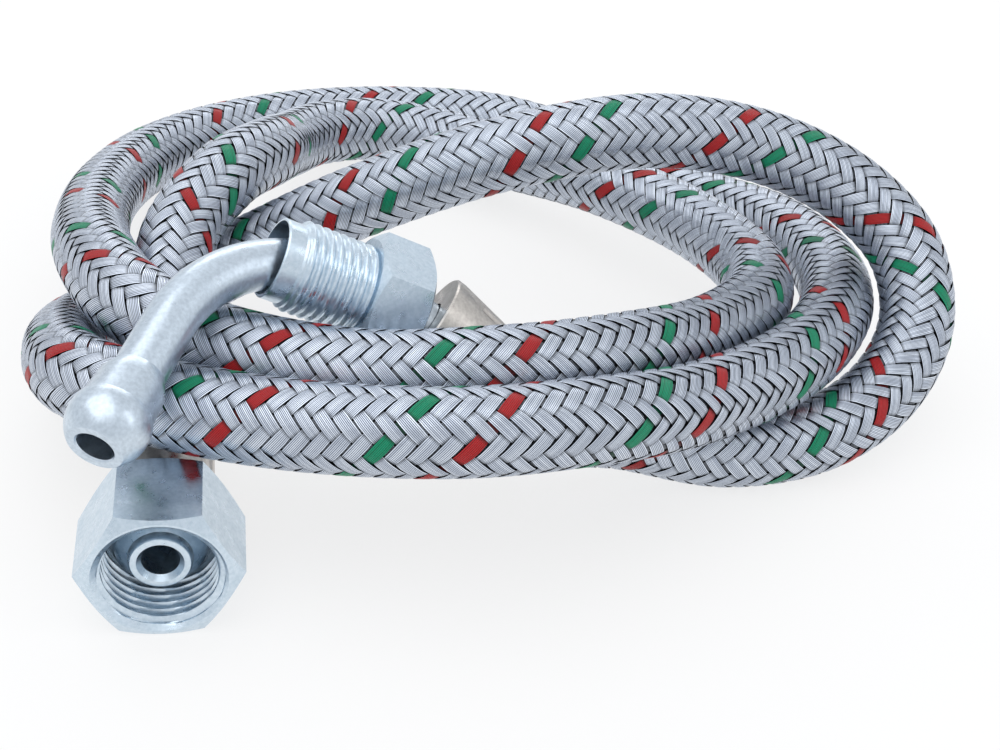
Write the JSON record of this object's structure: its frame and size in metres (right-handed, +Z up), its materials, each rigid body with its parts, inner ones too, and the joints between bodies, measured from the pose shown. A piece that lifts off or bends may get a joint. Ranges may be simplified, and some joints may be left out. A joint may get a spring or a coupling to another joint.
{
  "type": "oil hose",
  "caption": "Flexible braided burner oil hose in a loose coil, with a union nut and cone nipple at one end and a bent tube with a ball nose and sliding male nut at the other.",
  "frame": {"origin": "centre of the bounding box on the surface that the hose lies on", "axes": "+Z up, out of the surface; -Y is where the union nut's mouth points; +X to the right seen from there"},
  "size_m": [0.1449, 0.1498, 0.0453],
  "materials": {
    "zinc_steel": "zinc-plated turned steel, bright with fine turning marks",
    "tube_zinc": "zinc-plated drawn tube, smooth and slightly bluish",
    "ferrule_steel": "satin steel ferrule, crimped, slightly warm grey",
    "braid_wire": "braid of bright galvanised steel wires",
    "liner_rubber": "black oil-resistant rubber, matt",
    "tracer_red": "red lacquered tracer wires",
    "tracer_green": "green lacquered tracer wires"
  },
  "bodies": {
    "hose": {"wire_braid": "braid_wire", "rubber_liner": "liner_rubber", "seat_nipple": "zinc_steel", "ferrule_a": "ferrule_steel", "bent_tube": "tube_zinc", "ferrule_b": "ferrule_steel"},
    "union_nut": {"union_nut": "zinc_steel"},
    "male_nut": {"male_nut": "zinc_steel"}
  },
  "joints": [
    {"name": "union_nut_spin", "type": "hinge", "parent": "hose", "child": "union_nut", "pos_m": [-0.052, -0.06835, 0.0095], "axis": [0, -1, 0], "continuous": true},
    {"name": "male_nut_spin", "type": "hinge", "parent": "hose", "child": "male_nut", "pos_m": [-0.01739, -0.03846, 0.02727], "axis": [-0.9023, -0.0628, 0.4264], "continuous": true}
  ]
}
